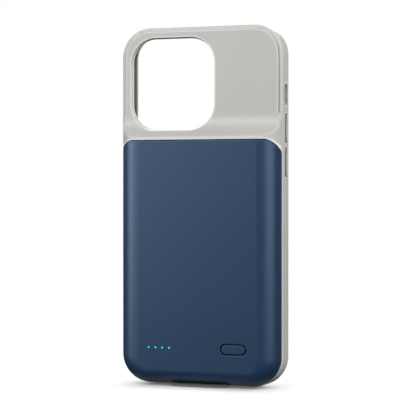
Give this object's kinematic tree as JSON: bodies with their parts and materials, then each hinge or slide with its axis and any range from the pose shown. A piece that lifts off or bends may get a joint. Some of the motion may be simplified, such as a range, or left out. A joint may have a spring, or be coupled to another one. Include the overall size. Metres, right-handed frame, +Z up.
{
  "type": "battery charging case",
  "caption": "Pocket case with a built-in battery under a domed back cover, a charging plug inside, an inlet in the foot, a lens window and press keys.",
  "frame": {"origin": "on the ground under the middle of the case, at the foot's level", "axes": "+Z up along the case, +Y towards the open front of the pocket, the domed battery side faces -Y, +X to the right seen from the battery side"},
  "size_m": [0.0832, 0.0178, 0.1726],
  "materials": {
    "grey_soft": "warm light grey moulded soft plastic, matte",
    "blue_satin": "dark slate blue satin plastic",
    "grey_key": "grey moulded plastic",
    "light_pin": "clear pin that glows cyan",
    "led_chip": "lit cyan light-emitting chip",
    "dark_tray": "dark grey stiff plastic with a fine texture",
    "screw_steel": "dark plated steel",
    "cell_foil": "dull laminated foil",
    "adhesive": "white double-sided adhesive pad",
    "circuit_board": "green solder mask",
    "red_lead": "red insulation",
    "black_lead": "black insulation",
    "chip_black": "black moulded component",
    "plug_black": "black moulded plastic",
    "plug_steel": "bright plated steel",
    "flex_amber": "amber polyimide film"
  },
  "bodies": {
    "case": {"soft_frame": "grey_soft", "battery_cover": "blue_satin", "inner_tray": "dark_tray", "tray_screws": "screw_steel", "lithium_cell": "cell_foil", "cell_pad": "adhesive", "protection_board": "circuit_board", "positive_lead": "red_lead", "negative_lead": "black_lead", "main_board": "circuit_board", "charger_chip": "chip_black", "boost_inductor": "chip_black", "led_1": "led_chip", "led_2": "led_chip", "led_3": "led_chip", "led_4": "led_chip", "light_pipe_1": "light_pin", "light_pipe_2": "light_pin", "light_pipe_3": "light_pin", "light_pipe_4": "light_pin", "switch_body": "chip_black", "plug_collar": "plug_black", "plug_shell": "plug_steel", "plug_core": "plug_black", "port_board": "circuit_board", "port_shell": "plug_steel", "port_tongue": "plug_black", "link_flex": "flex_amber"},
    "power_key": {"power_button": "blue_satin", "switch_plunger": "chip_black"},
    "volume_up_key": {"volume_up_button": "grey_key"},
    "volume_down_key": {"volume_down_button": "grey_key"},
    "side_key": {"side_button": "grey_key"}
  },
  "joints": [
    {"name": "power_press", "type": "slide", "parent": "case", "child": "power_key", "axis": [0, 1, 0], "range_m": [0, 0.00035], "stiffness_N_per_m": 1500},
    {"name": "volume_up_press", "type": "slide", "parent": "case", "child": "volume_up_key", "axis": [-1, 0, 0], "range_m": [0, 0.0004], "stiffness_N_per_m": 1500},
    {"name": "volume_down_press", "type": "slide", "parent": "case", "child": "volume_down_key", "axis": [-1, 0, 0], "range_m": [0, 0.0004], "stiffness_N_per_m": 1500},
    {"name": "side_press", "type": "slide", "parent": "case", "child": "side_key", "axis": [1, 0, 0], "range_m": [0, 0.0004], "stiffness_N_per_m": 1500}
  ]
}
